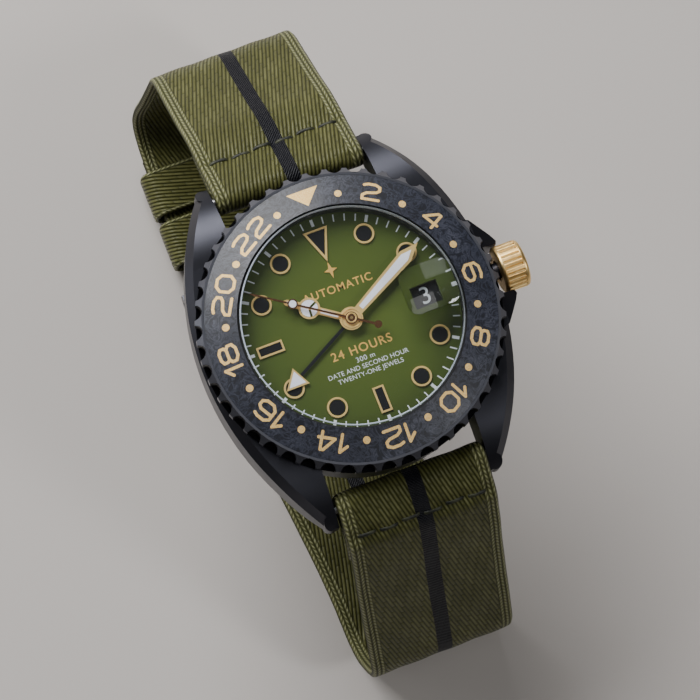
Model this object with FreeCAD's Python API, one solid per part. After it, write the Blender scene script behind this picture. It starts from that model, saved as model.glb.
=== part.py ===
"""Diver's wristwatch with a 24-hour bezel, four central hands and a webbing strap.

Millimetres. +Z is up through the dial, +Y points to 12 o'clock and +X to the crown.
The origin is on the surface that the closed strap rests on, straight below the hands.
Heights named in watch terms are counted from the dial's top face, which is DIAL_HEIGHT
above the origin. Strap and buckle heights are counted from the origin.
"""
import FreeCAD, Part
import os
from math import atan2, ceil, cos, degrees, hypot, pi, radians, sin, sqrt, tan

V = FreeCAD.Vector
UP = V(0, 0, 1)

# Driving dimensions
DIAL_HEIGHT = 47.0
LUG_GAP = 22.0
CASE_FLANK_RADIUS = 40.0
CASE_HALF_WIDTH = 21.0
LUG_TIP_Y = 25.0
LUG_BEVEL = 1.1
BODY_RADIUS = 20.2
BEZEL_RADIUS = 21.0
BEZEL_SCALLOPS = 48
INSERT_INNER, INSERT_OUTER = 15.45, 19.8
INSERT_HIGH, INSERT_LOW = 3.15, 1.87
CRYSTAL_RADIUS = 15.15
DIAL_RADIUS = 15.3
MOVEMENT_RADIUS = 12.8
STEM_Z = -3.4
CROWN_RADIUS = 3.3
CROWN_INNER_X, CROWN_OUTER_X = 21.9, 25.6
SPRING_BAR_Y, SPRING_BAR_Z = 22.7, 42.4
SPRING_BAR_RADIUS = 0.9
STRAP_WIDTH = 21.6
STRAP_THICKNESS = 1.3
STRAP_SHIFT = -2.6
BUCKLE_BAR_Y, BUCKLE_BAR_Z = 18.5, 3.6
HOUR_ANGLE, MINUTE_ANGLE, SECONDS_ANGLE, GMT_ANGLE = -55.0, 61.6, -56.0, -118.0
PLOT_CIRCLE = 12.17

# Axes of the wheel train, on the movement
BARREL_AXIS = (3.1, 5.4)
THIRD_AXIS = (-3.95, -1.44)
ESCAPE_AXIS = (2.777, -3.297)
PALLET_AXIS = (4.258, -5.056)
BALANCE_AXIS = (6.19, -7.35)
MINUTE_WHEEL_AXIS = (-1.5, 2.598)
CROWN_WHEEL_AXIS = (7.8, 0.0)


def disc(radius, bottom, top, at=(0.0, 0.0)):
    return Part.makeCylinder(radius, top - bottom, V(at[0], at[1], bottom))


def ring(outer, inner, bottom, top, at=(0.0, 0.0)):
    return disc(outer, bottom, top, at).cut(disc(inner, bottom - 1, top + 1, at))


def rod_x(radius, start, end, y, z):
    return Part.makeCylinder(radius, end - start, V(start, y, z), V(1, 0, 0))


def block(x, y, z):
    """A box between the low and high values given for each axis."""
    return Part.makeBox(x[1] - x[0], y[1] - y[0], z[1] - z[0], V(x[0], y[0], z[0]))


def fused(shapes):
    return shapes[0].multiFuse(shapes[1:]) if len(shapes) > 1 else shapes[0]


def turned(profile):
    """A solid of revolution about the hands' axis from (radius, height) corners."""
    corners = [V(r, 0, z) for r, z in profile]
    face = Part.Face(Part.makePolygon(corners + corners[:1]))
    return face.revolve(V(0, 0, 0), UP, 360)


def prism(points, bottom, top):
    corners = [V(x, y, bottom) for x, y in points]
    return Part.Face(Part.makePolygon(corners + corners[:1])).extrude(UP * (top - bottom))


def slab_x(points, start, end):
    """A prism along X from (y, z) corners."""
    corners = [V(start, y, z) for y, z in points]
    face = Part.Face(Part.makePolygon(corners + corners[:1]))
    return face.extrude(V(end - start, 0, 0))


def spun(shape, angle):
    """The shape turned clockwise, as a hand turns, by an angle in degrees."""
    turned_copy = shape.copy()
    turned_copy.rotate(V(0, 0, 0), UP, -angle)
    return turned_copy


def around(shape, count):
    return [spun(shape, 360.0 * i / count) for i in range(count)]


def pointing(start, end):
    return degrees(atan2(end[1] - start[1], end[0] - start[0]))


def gear_points(teeth, module, phase):
    """Corners of a gear with straight-sided teeth; a tooth's middle lies at phase."""
    pitch = 2 * pi / teeth
    root = module * (teeth / 2 - 1.0)
    tip = module * (teeth / 2 + 0.6)
    points = []
    for i in range(teeth):
        middle = radians(phase) + i * pitch
        for radius, turn in ((root, -0.28), (tip, -0.08), (tip, 0.08), (root, 0.28)):
            angle = middle + turn * pitch
            points.append((radius * cos(angle), radius * sin(angle)))
    return points


def gear(teeth, module, bottom, top, at=(0.0, 0.0), towards=None, gap=False, hole=0.0):
    """A gear with a tooth, or a gap, on the line towards the gear it meshes with."""
    phase = pointing(at, towards) if towards else 0.0
    phase += 180.0 / teeth if gap else 0.0
    solid = prism(gear_points(teeth, module, phase), bottom, top)
    if hole:
        solid = solid.cut(disc(hole, bottom - 1, top + 1))
    solid.translate(V(at[0], at[1], 0))
    return solid


def save(node, shape, lift=DIAL_HEIGHT):
    placed = shape.copy()
    placed.translate(V(0, 0, lift))
    placed.exportStep("parts/" + node + ".step")


# Case

def flank_x(y):
    return CASE_HALF_WIDTH - CASE_FLANK_RADIUS + sqrt(CASE_FLANK_RADIUS ** 2 - y * y)


def case_plan_solid(bottom, top):
    """Bowed flanks, four lugs and a round body between them, drawn upwards."""
    lug = LUG_GAP / 2
    tip_x = flank_x(LUG_TIP_Y - 0.9)
    body_y = sqrt(BODY_RADIUS ** 2 - lug * lug)
    quarter = [(lug, body_y), (lug, LUG_TIP_Y), (lug + 0.5, LUG_TIP_Y)]
    edges = []
    for side_x in (1, -1):
        for side_y in (1, -1):
            corner = [V(side_x * x, side_y * y) for x, y in quarter]
            edges.append(Part.LineSegment(corner[0], corner[1]).toShape())
            edges.append(Part.LineSegment(corner[1], corner[2]).toShape())
            shoulder = V(side_x * (tip_x - 0.15), side_y * (LUG_TIP_Y - 0.3))
            flank = V(side_x * tip_x, side_y * (LUG_TIP_Y - 0.9))
            edges.append(Part.Arc(corner[2], shoulder, flank).toShape())
        upper = V(side_x * tip_x, LUG_TIP_Y - 0.9)
        lower = V(side_x * tip_x, 0.9 - LUG_TIP_Y)
        edges.append(Part.Arc(upper, V(side_x * CASE_HALF_WIDTH, 0), lower).toShape())
    for side_y in (1, -1):
        ends = [V(side_x * lug, side_y * body_y) for side_x in (1, -1)]
        edges.append(Part.Arc(ends[0], V(0, side_y * BODY_RADIUS), ends[1]).toShape())
    face = Part.Face(Part.Wire(Part.__sortEdges__(edges)))
    face.translate(V(0, 0, bottom))
    return face.extrude(UP * (top - bottom))


def case_side_view(half_width):
    """The case seen from the crown side, drawn across: flat on top, lugs curving down."""
    flat_y, top_z, tip_y = 14.0, -0.9, 25.3
    edges = []
    for side in (1, -1):
        top = [V(0, side * y, z) for y, z in ((flat_y, top_z), (20.4, -2.0), (tip_y, -5.9))]
        foot = [V(0, side * y, z) for y, z in ((tip_y, -7.5), (24.6, -8.05), (21.5, -7.95), (17.6, -7.2))]
        edges.append(Part.Arc(*top).toShape())
        edges.append(Part.LineSegment(top[2], foot[0]).toShape())
        edges += [Part.LineSegment(a, b).toShape() for a, b in zip(foot, foot[1:])]
    for y, z in ((flat_y, top_z), (17.6, -7.2)):
        edges.append(Part.LineSegment(V(0, -y, z), V(0, y, z)).toShape())
    face = Part.Face(Part.Wire(Part.__sortEdges__(edges)))
    face.translate(V(-half_width, 0, 0))
    return face.extrude(V(2 * half_width, 0, 0))


def on_flank_top(edge):
    """True for the edges between a flank and the top of the case."""
    points = [edge.valueAt(edge.FirstParameter + (edge.LastParameter - edge.FirstParameter) * part)
              for part in (0, 0.5, 1)]
    on_flank = all(abs(point.x) > flank_x(point.y) - 0.03 for point in points)
    upright = hypot(points[0].x - points[2].x, points[0].y - points[2].y) < 0.05
    return on_flank and not upright and points[1].z > -6.2


def crown_guard(side):
    """A shoulder beside the crown, sloped on top and faired into the flank."""
    plan = [(19.0, 3.4), (22.9, 3.4), (23.1, 3.9), (22.5, 4.9), (20.4, 7.6), (18.5, 8.4)]
    guard = prism([(x, side * y) for x, y in plan], -6.6, -1.2)
    wedge = Part.Face(Part.makePolygon([V(20.0, -9, -1.0), V(24.0, -9, -3.0), V(24.0, -9, 0), V(20.0, -9, -1.0)]))
    return guard.cut(wedge.extrude(V(0, 18, 0)))


def case_middle():
    body = case_plan_solid(-8.2, -0.8).common(case_side_view(22))
    body = body.makeChamfer(LUG_BEVEL, [edge for edge in body.Edges if on_flank_top(edge)])
    body = fused([body, crown_guard(1), crown_guard(-1)])
    neck = turned([(15.0, -2.0), (17.5, -2.0), (17.5, 1.2), (16.0, 1.2), (16.0, 2.3), (15.0, 2.3)])
    body = body.fuse(neck)
    cavity = turned([(0, -9), (15.55, -9), (15.55, -0.4), (15.6, -0.4), (15.6, 1.96), (15.44, 1.96),
                     (15.44, 3), (0, 3)])
    seal_groove = ring(16.75, 15.85, -7.3, -6.88)
    spring_groove = ring(19.65, 18.35, -1.35, -0.5)
    body = body.cut(fused([cavity, rod_x(1.15, 15, 22.5, 0, STEM_Z)]))
    body = body.cut(seal_groove).cut(spring_groove)
    for y in (SPRING_BAR_Y, -SPRING_BAR_Y):
        for side in (1, -1):
            start = min(side * 10.5, side * 12.4)
            body = body.cut(rod_x(0.6, start, start + 1.9, y, SPRING_BAR_Z - DIAL_HEIGHT))
    return body.removeSplitter()


def case_back():
    """A threaded cover with a collar that holds the movement ring, and six key slots."""
    cover = turned([(0, -8.4), (16.2, -8.4), (17.2, -7.9), (17.2, -7.25), (15.5, -7.25), (15.5, -6.2),
                    (14.6, -6.2), (14.6, -7.3), (0, -7.3)])
    slot = block((-0.9, 0.9), (15.4, 17.4), (-8.5, -8.0))
    for cutter in around(slot, 6):
        cover = cover.cut(cutter)
    return cover


def bezel_click_spring():
    """A flat ring spring in the case groove, split, with a raised tongue under the bezel."""
    spring = ring(19.55, 18.45, -1.3, -1.05)
    spring = spring.cut(block((-1.5, 1.5), (-20.5, -17), (-2, 0)))
    tongue = block((-0.5, 0.5), (18.55, 19.4), (-1.1, -0.78))
    return spring.fuse(tongue)


def crystal():
    edge = 0.28
    return turned([(0, 2.05), (CRYSTAL_RADIUS, 2.05), (CRYSTAL_RADIUS, 3.6 - edge),
                   (CRYSTAL_RADIUS - edge, 3.6), (0, 3.6)])


def date_magnifier():
    """A low dome over the date window, trimmed to a rounded rectangle."""
    low, high, half = 7.35, 14.6, 3.25
    blank = block((low, high), (-half, half), (3.62, 5))
    blank = blank.makeFillet(1.4, [e for e in blank.Edges if abs(e.tangentAt(0).z) > 0.9])
    dome = Part.makeSphere(16.0, V((low + high) / 2, 0, 4.4 - 16.0))
    return blank.common(dome).common(disc(CRYSTAL_RADIUS - 0.25, 3, 5))


def crystal_gasket():
    return turned([(15.02, 1.97), (15.42, 1.97), (15.42, 2.45), (15.16, 2.45), (15.16, 2.04),
                   (15.02, 2.04)])


def rehaut_ring():
    return turned([(15.12, 0.02), (15.55, 0.02), (15.55, 1.95), (15.02, 1.95)])


def movement_holder():
    holder = ring(15.45, 12.9, -6.15, -0.45)
    return holder.cut(rod_x(1.3, 12, 16, 0, STEM_Z))


def crown_tube():
    return rod_x(1.14, 15.7, 23.4, 0, STEM_Z).cut(rod_x(0.75, 15, 24, 0, STEM_Z))


# Bezel

def bezel_ring():
    """Fluted rim with a seat for the insert and a flange that turns over the case neck."""
    body = turned([(17.6, -0.7), (20.4, -0.7), (BEZEL_RADIUS, -0.2), (BEZEL_RADIUS, 1.0), (20.15, 1.9),
                   (INSERT_OUTER + 0.02, 1.9), (INSERT_OUTER + 0.02, 1.35), (16.1, 2.44), (16.1, 1.35),
                   (17.6, 1.35)])
    scallop = disc(1.0, -0.35, 3, (0, BEZEL_RADIUS + 0.15))
    body = body.cut(Part.makeCompound(around(scallop, BEZEL_SCALLOPS)))
    notch = block((-0.7, 0.7), (18.4, 19.6), (-0.8, -0.6))
    return body.cut(Part.makeCompound(around(notch, 24)))


def insert_shell(top, bottom):
    """The coned band of the insert between two depths under its top face."""
    return turned([(INSERT_INNER, INSERT_HIGH - bottom), (INSERT_OUTER, INSERT_LOW - bottom),
                   (INSERT_OUTER, INSERT_LOW - top), (INSERT_INNER, INSERT_HIGH - top)])


DIGIT_WIDTH, DIGIT_HEIGHT, DIGIT_STROKE, DIGIT_GAP = 2.25, 2.3, 0.41, 0.85
CURVE_X, CURVE_Y = 0.27, 0.24
DIGIT_PATHS = {
    "0": [(CURVE_X, 0), (1 - CURVE_X, 0), (1, CURVE_Y), (1, 1 - CURVE_Y), (1 - CURVE_X, 1), (CURVE_X, 1),
          (0, 1 - CURVE_Y), (0, CURVE_Y), (CURVE_X, 0)],
    "1": [(0, 0.62), (0.4, 1), (0.4, 0)],
    "2": [(0.04, 0.92), (CURVE_X, 1), (1 - CURVE_X, 1), (1, 0.86), (1, 0.62), (0.8, 0.5), (0.25, 0.42),
          (0, 0.25), (0, 0), (1, 0)],
    "4": [(0.8, 0), (0.8, 1), (0.62, 1), (0, 0.32), (1, 0.32)],
    "6": [(0.96, 0.92), (1 - CURVE_X, 1), (CURVE_X, 1), (0, 0.8), (0, CURVE_Y), (CURVE_X, 0),
          (1 - CURVE_X, 0), (1, 0.16), (1, 0.42), (0.8, 0.56), (0, 0.56)],
    "8": [(0.2, 0.54), (0, 0.42), (0, 0.16), (CURVE_X, 0), (1 - CURVE_X, 0), (1, 0.16), (1, 0.42),
          (0.8, 0.54), (0.93, 0.66), (0.93, 0.88), (0.7, 1), (0.3, 1), (0.07, 0.88), (0.07, 0.66),
          (0.2, 0.54), (0.8, 0.54)],
}


def stroke(start, end):
    """A bar with round ends between two points."""
    half = DIGIT_STROKE / 2
    length = hypot(end[0] - start[0], end[1] - start[1])
    bar = block((0, length), (-half, half), (0, 4))
    bar.rotate(V(0, 0, 0), UP, pointing(start, end))
    bar.translate(V(start[0], start[1], 0))
    return [bar, disc(half, 0, 4, start), disc(half, 0, 4, end)]


def digit(name, left, middle_y):
    points = [(left + x * DIGIT_WIDTH, middle_y + (y - 0.5) * DIGIT_HEIGHT) for x, y in DIGIT_PATHS[name]]
    return fused([bar for start, end in zip(points, points[1:]) for bar in stroke(start, end)])


def digit_width(name):
    return DIGIT_WIDTH * max(x for x, y in DIGIT_PATHS[name])


def number(text, radius):
    """A number standing at 12 o'clock with its foot towards the hands."""
    widths = [digit_width(name) for name in text]
    left = -(sum(widths) + DIGIT_GAP * (len(text) - 1)) / 2
    glyphs = []
    for name, width in zip(text, widths):
        glyphs.append(digit(name, left, radius))
        left += width + DIGIT_GAP
    return fused(glyphs)


def bezel_markings():
    """Even hours of the 24-hour scale as numbers, odd hours as dots, 24 as a triangle."""
    shapes = [prism([(-2.25, 18.6), (2.25, 18.6), (0, 16.12)], 0, 4)]
    for hour in range(1, 24):
        blank = disc(0.5, 0, 4, (0, 17.0)) if hour % 2 else number(str(hour), 17.4)
        shapes.append(spun(blank, hour * 15))
    return shapes


# Dial

def dial():
    plate = disc(DIAL_RADIUS, -0.4, 0).cut(disc(1.1, -1, 1))
    return plate.cut(block((9.7, 12.5), (-1.1, 1.1), (-1, 1)))


def hour_marker_frames():
    """Applied metal rims: rings, two bars and the triangle at 12."""
    frames = []
    for hour in (1, 2, 4, 5, 7, 8, 10, 11):
        frames.append(spun(ring(1.4, 1.13, 0, 0.28, (0, PLOT_CIRCLE)), 30 * hour))
    bar = block((-0.8, 0.8), (9.75, 13.4), (0, 0.28)).cut(block((-0.54, 0.54), (10.0, 13.15), (-1, 1)))
    frames += [spun(bar, 180), spun(bar, 270)]
    outer = prism([(-1.75, 13.35), (1.75, 13.35), (0, 8.6)], 0, 0.28)
    inner = prism([(-1.33, 13.08), (1.33, 13.08), (0, 9.5)], -1, 1)
    return Part.makeCompound(frames + [outer.cut(inner)])


def hour_marker_plots():
    plots = [spun(disc(1.0, 0, 0.2, (0, PLOT_CIRCLE)), 30 * h) for h in (1, 2, 4, 5, 7, 8, 10, 11)]
    bar = block((-0.5, 0.5), (10.05, 13.1), (0, 0.2))
    plots += [spun(bar, 180), spun(bar, 270)]
    plots.append(prism([(-1.27, 13.03), (1.27, 13.03), (0, 9.63)], 0, 0.2))
    return Part.makeCompound(plots)


# Hands, drawn pointing to 12 and turned to their hours

def hour_hand():
    """A spoked circle on a short blade."""
    low, high = 0.65, 0.85
    blade = prism([(-0.5, 0.5), (0.5, 0.5), (0.5, 4.6), (-0.5, 4.6)], low, high)
    tip = prism([(-0.5, 7.0), (0.5, 7.0), (0.42, 9.0), (0, 9.6), (-0.42, 9.0)], low, high)
    circle = ring(1.48, 1.2, low, high, (0, 5.8))
    spoke = block((-0.13, 0.13), (0, 1.3), (low, high))
    spokes = []
    for turn in (60, 180, 300):
        arm = spun(spoke, turn)
        arm.translate(V(0, 5.8, 0))
        spokes.append(arm)
    hub = ring(1.5, 0.5, low, high)
    hand = fused([blade, tip, circle, hub] + spokes).cut(disc(0.75, 0, 2))
    return spun(hand, HOUR_ANGLE)


def minute_hand():
    low, high = 1.0, 1.2
    blade = prism([(-0.62, 0.8), (0.62, 0.8), (1.0, 11.4), (0, 13.95), (-1.0, 11.4)], low, high)
    hand = blade.fuse(disc(1.6, low, high)).cut(disc(0.5, 0, 2))
    return spun(hand, MINUTE_ANGLE)


def seconds_hand():
    low, high = 1.35, 1.55
    needle = prism([(-0.16, -3.7), (0.16, -3.7), (0.1, 14.0), (-0.1, 14.0)], low, high)
    lamp = disc(0.7, low, high, (0, 8.1))
    weight = disc(0.525, low, high, (0, -3.7))
    hand = fused([needle, lamp, weight, disc(0.85, low, high)]).cut(disc(0.2, 0, 2))
    return spun(hand, SECONDS_ANGLE)


def gmt_hand():
    low, high = 0.3, 0.5
    stem = block((-0.22, 0.22), (0.9, 10.6), (low, high))
    head = prism([(-1.52, 10.3), (1.52, 10.3), (0, 13.2)], low, high)
    hand = fused([stem, head, disc(1.4, low, high)]).cut(disc(0.95, 0, 2))
    return spun(hand, GMT_ANGLE)


# Motion work: pipes inside one another, geared down from the minute to 24 hours

CANNON_TEETH, MINUTE_WHEEL_TEETH, CANNON_MODULE = 12, 36, 0.125
MINUTE_PINION_TEETH, HOUR_WHEEL_TEETH, HOUR_MODULE = 10, 40, 0.12
GMT_PINION_TEETH, GMT_WHEEL_TEETH, GMT_MODULE = 8, 64, 1.0 / 12
CENTRE = (0.0, 0.0)


def cannon_pinion():
    """Minute pipe with its pinion, and the centre wheel of the going train below."""
    pipe = disc(0.45, -3.3, 1.25)
    pinion = gear(CANNON_TEETH, CANNON_MODULE, -2.25, -2.0, CENTRE, MINUTE_WHEEL_AXIS)
    wheel = gear(80, 4.2 / 45, -2.95, -2.75, CENTRE, THIRD_AXIS)
    barrel_pinion = gear(12, hypot(*BARREL_AXIS) / 48, -3.3, -3.05, CENTRE, BARREL_AXIS)
    return fused([pipe, pinion, wheel, barrel_pinion]).cut(disc(0.25, -5, 2))


def hour_wheel():
    pipe = ring(0.7, 0.5, -1.95, 0.95)
    wheel = gear(HOUR_WHEEL_TEETH, HOUR_MODULE, -1.95, -1.75, CENTRE, MINUTE_WHEEL_AXIS, True, 0.5)
    return pipe.fuse(wheel)


def gmt_wheel():
    pipe = ring(0.95, 0.75, -1.5, 0.55)
    wheel = gear(GMT_WHEEL_TEETH, GMT_MODULE, -1.5, -1.3, CENTRE, MINUTE_WHEEL_AXIS, True, 0.75)
    return pipe.fuse(wheel)


def minute_wheel():
    """An intermediate arbor with one wheel and the two pinions that drive the pipes."""
    at = MINUTE_WHEEL_AXIS
    wheel = gear(MINUTE_WHEEL_TEETH, CANNON_MODULE, -2.25, -2.05, at, CENTRE, True)
    hour_pinion = gear(MINUTE_PINION_TEETH, HOUR_MODULE, -2.1, -1.72, at, CENTRE)
    gmt_pinion = gear(GMT_PINION_TEETH, GMT_MODULE, -1.74, -1.25, at, CENTRE)
    arbor = disc(0.15, -2.5, -1.23, at)
    return fused([wheel, hour_pinion, gmt_pinion, arbor])


def date_ring():
    """A 31-day ring with teeth inside for its driving finger."""
    ring_blank = ring(12.6, 9.9, -0.75, -0.5)
    tooth = block((-0.25, 0.25), (9.6, 10.0), (-0.75, -0.5))
    return fused([ring_blank] + around(tooth, 31))


# Movement

def main_plate():
    """The plate that carries every arbor, with a well for the motion work."""
    plate = disc(MOVEMENT_RADIUS, -2.7, -0.8)
    well = fused([disc(3.1, -2.3, 0), disc(2.45, -2.3, 0, MINUTE_WHEEL_AXIS)])
    plate = plate.cut(well).cut(disc(0.55, -3, 0))
    plate = plate.cut(disc(0.18, -3, 0, MINUTE_WHEEL_AXIS))
    plate = plate.cut(rod_x(1.3, 7.2, 13, 0, STEM_Z))
    plate = plate.cut(disc(0.55, -2.8, -2.45, BARREL_AXIS))
    for axis in (THIRD_AXIS, ESCAPE_AXIS, PALLET_AXIS, BALANCE_AXIS):
        plate = plate.cut(disc(0.3, -2.8, -2.45, axis))
    posts = [disc(0.9, -4.25, -2.7, (r * cos(radians(a)), r * sin(radians(a))))
             for r, a in ((11.7, 20), (11.7, 100), (11.7, 165), (11.7, 232))]
    cock_post = disc(0.9, -4.25, -2.7, (10.4, -5.6))
    return fused([plate, cock_post] + posts)


def train_bridge():
    """One bridge over the barrel and the train, cut away round the balance."""
    bridge = disc(12.7, -4.75, -4.25)
    bridge = bridge.cut(disc(5.2, -5, -4, (7.1, -8.2)))
    for axis, radius in ((BARREL_AXIS, 0.65), (THIRD_AXIS, 0.12), (CENTRE, 0.14), (ESCAPE_AXIS, 0.12),
                         (CROWN_WHEEL_AXIS, 0.35)):
        bridge = bridge.cut(disc(radius, -5, -4, axis))
    face_teeth_groove = ring(2.15, 1.5, -5, -4.4, CROWN_WHEEL_AXIS)
    return bridge.cut(face_teeth_groove).cut(block((8.9, 13), (-1.5, 1.5), (-5, -4)))


def balance_cock():
    cock = disc(4.4, -4.75, -4.4, (7.1, -8.2)).common(disc(12.7, -5, -4))
    arm = fused([cock.common(block((3, 13), (-9.2, -4.2), (-5, -4))), disc(0.9, -4.4, -4.25, (10.4, -5.6))])
    return arm.cut(disc(0.12, -5, -4, BALANCE_AXIS)).cut(disc(0.12, -5, -4, PALLET_AXIS))


def movement_screws():
    screws = []
    for r, a in ((11.7, 20), (11.7, 100), (11.7, 165), (11.7, 232)):
        at = (r * cos(radians(a)), r * sin(radians(a)))
        head = disc(0.6, -5.05, -4.75, at)
        slot = block((at[0] - 0.7, at[0] + 0.7), (at[1] - 0.1, at[1] + 0.1), (-5.1, -4.95))
        screws.append(head.cut(slot))
    return Part.makeCompound(screws)


def jewel_bearings():
    """Pierced stones pressed into the plate under each arbor of the train."""
    jewels = []
    for axis in (THIRD_AXIS, ESCAPE_AXIS, PALLET_AXIS, BALANCE_AXIS):
        jewels.append(ring(0.3, 0.1, -2.7, -2.45, axis))
    return Part.makeCompound(jewels)


FOURTH_MODULE = 0.098


def fourth_wheel():
    """The seconds arbor through the centre, with its pinion and wheel."""
    arbor = disc(0.2, -4.2, 1.6).fuse(disc(0.12, -4.7, -4.1))
    pinion = gear(10, 4.2 / 42.5, -3.62, -3.38, CENTRE, THIRD_AXIS, True)
    wheel = gear(80, FOURTH_MODULE, -4.2, -4.0, CENTRE, ESCAPE_AXIS)
    return fused([arbor, pinion, wheel])


def third_wheel():
    pinion = gear(10, 4.2 / 45, -2.98, -2.72, THIRD_AXIS, CENTRE, True)
    wheel = gear(75, 4.2 / 42.5, -3.6, -3.4, THIRD_AXIS, CENTRE)
    return fused([disc(0.09, -4.7, -2.5, THIRD_AXIS), pinion, wheel])


def mainspring_barrel():
    """A toothed drum, open for the spring, with a bore for its arbor."""
    drum = disc(5.0, -3.85, -3.05, BARREL_AXIS).cut(disc(4.75, -3.65, -3.25, BARREL_AXIS))
    teeth = gear(84, hypot(*BARREL_AXIS) / 48, -3.25, -3.05, BARREL_AXIS, CENTRE, True)
    drum = drum.fuse(teeth).cut(disc(4.75, -3.65, -3.25, BARREL_AXIS))
    return drum.cut(disc(0.55, -5, -2, BARREL_AXIS))


def spiral(start, turns, pitch, thickness, bottom, top, at):
    """A flat spiral of half-rings whose centres step from side to side."""
    halves = []
    radius = start
    for i in range(turns * 2):
        side = 1 if i % 2 else -1
        half = ring(radius + thickness / 2, radius - thickness / 2, bottom, top)
        keep = block((-20, 20), (0, 20) if side > 0 else (-20, 0), (bottom - 1, top + 1))
        half = half.common(keep)
        half.translate(V(at[0] + side * pitch / 4, at[1], 0))
        halves.append(half)
        radius += pitch / 2
    return fused(halves)


def mainspring():
    return spiral(1.0, 7, 0.5, 0.14, -3.6, -3.3, BARREL_AXIS)


CROWN_WHEEL_TEETH, RATCHET_TEETH = 24, 48
RATCHET_MODULE = 2 * hypot(BARREL_AXIS[0] - CROWN_WHEEL_AXIS[0], BARREL_AXIS[1]) / 72


def ratchet_wheel():
    """The ratchet wheel with the barrel arbor that it winds."""
    wheel = gear(RATCHET_TEETH, RATCHET_MODULE, -5.0, -4.8, BARREL_AXIS, CROWN_WHEEL_AXIS, True)
    arbor = disc(0.5, -5.0, -2.5, BARREL_AXIS)
    return fused([wheel, arbor])


def crown_wheel():
    """Rim teeth for the ratchet, and a lower rim of face teeth for the winding pinion."""
    wheel = gear(CROWN_WHEEL_TEETH, RATCHET_MODULE, -5.0, -4.8, CROWN_WHEEL_AXIS, BARREL_AXIS)
    tooth = block((1.6, 2.05), (-0.06, 0.06), (-4.85, -4.44))
    face_teeth = [spun(tooth, 360 * (i + 0.5) / CROWN_WHEEL_TEETH) for i in range(CROWN_WHEEL_TEETH)]
    for face_tooth in face_teeth:
        face_tooth.translate(V(CROWN_WHEEL_AXIS[0], CROWN_WHEEL_AXIS[1], 0))
    return fused([wheel, disc(0.3, -5.0, -4.5, CROWN_WHEEL_AXIS)] + face_teeth)


def escape_wheel():
    """Fifteen raked club teeth on a rim, and the escape pinion."""
    points = []
    for i in range(15):
        middle = radians(pointing(ESCAPE_AXIS, PALLET_AXIS)) + 2 * pi * (i + 0.5) / 15
        for radius, turn in ((1.28, -0.12), (1.68, 0.02), (1.68, 0.08), (1.28, 0.1)):
            points.append((radius * cos(middle + turn), radius * sin(middle + turn)))
    wheel = prism(points, -3.5, -3.3)
    wheel.translate(V(ESCAPE_AXIS[0], ESCAPE_AXIS[1], 0))
    pinion = gear(8, FOURTH_MODULE, -4.22, -3.98, ESCAPE_AXIS, CENTRE, True)
    return fused([wheel, pinion, disc(0.09, -4.7, -2.5, ESCAPE_AXIS)])


def pallet_fork():
    """A lever with two stones that stand either side of the escape wheel's rim."""
    along = radians(pointing(PALLET_AXIS, BALANCE_AXIS))
    lever = block((-0.2, 1.9), (-0.15, 0.15), (-3.5, -3.3))
    horns = fused([block((1.8, 2.35), (0.2, 0.35), (-3.5, -3.3)), block((1.8, 2.35), (-0.35, -0.2),
                  (-3.5, -3.3)), block((1.75, 1.95), (-0.35, 0.35), (-3.5, -3.3))])
    arms = block((-0.2, 0.2), (-1.45, 1.45), (-3.5, -3.3))
    stones = [block((-0.75, 0.0), (y - 0.13, y + 0.13), (-3.5, -3.3)) for y in (1.35, -1.35)]
    fork = fused([lever, horns, arms, disc(0.3, -3.5, -3.3)] + stones)
    fork.rotate(V(0, 0, 0), UP, degrees(along))
    fork.translate(V(PALLET_AXIS[0], PALLET_AXIS[1], 0))
    return fork.fuse(disc(0.09, -4.7, -2.5, PALLET_AXIS))


def balance_wheel():
    at = BALANCE_AXIS
    rim = ring(2.9, 2.5, -4.0, -3.75, at)
    arms = [block((at[0] - 2.6, at[0] + 2.6), (at[1] - 0.15, at[1] + 0.15), (-4.0, -3.75)),
            disc(0.35, -4.0, -3.75, at), disc(0.3, -3.6, -3.2, at), disc(0.09, -4.7, -2.5, at)]
    return fused([rim] + arms)


def hairspring():
    return spiral(0.5, 6, 0.3, 0.06, -4.25, -4.12, BALANCE_AXIS)


def rotor_weight():
    """A half-round winding weight: a thin web and a heavy rim."""
    half = block((-13, 13), (-13, 0.9), (-7, -5))
    web = ring(12.0, 1.32, -5.45, -5.25).common(half)
    rim = ring(12.0, 9.6, -6.1, -5.25).common(half)
    hub = ring(2.6, 1.32, -5.6, -5.25)
    return fused([web, rim, hub])


def rotor_bearing():
    """The bearing's fixed race and its screw, on top of the bridge."""
    return disc(1.25, -5.75, -4.75)


# Winding gear, turning about the stem

WINDING_TEETH = 14


def stem_pinion(start, end, radius, bore):
    points = gear_points(WINDING_TEETH, radius / (WINDING_TEETH / 2 + 0.6), 90)
    blank = Part.Face(Part.makePolygon([V(start, x, y) for x, y in points + points[:1]]))
    solid = blank.extrude(V(end - start, 0, 0))
    solid.translate(V(0, 0, STEM_Z))
    return solid.cut(rod_x(bore, start - 1, end + 1, 0, STEM_Z))


def winding_pinion():
    return stem_pinion(9.3, 10.4, 1.12, 0.45)


def sliding_pinion():
    return rod_x(0.8, 7.6, 9.3, 0, STEM_Z).cut(rod_x(0.45, 7, 10, 0, STEM_Z))


def winding_stem():
    return rod_x(0.4, 7.6, 24.6, 0, STEM_Z)


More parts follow.
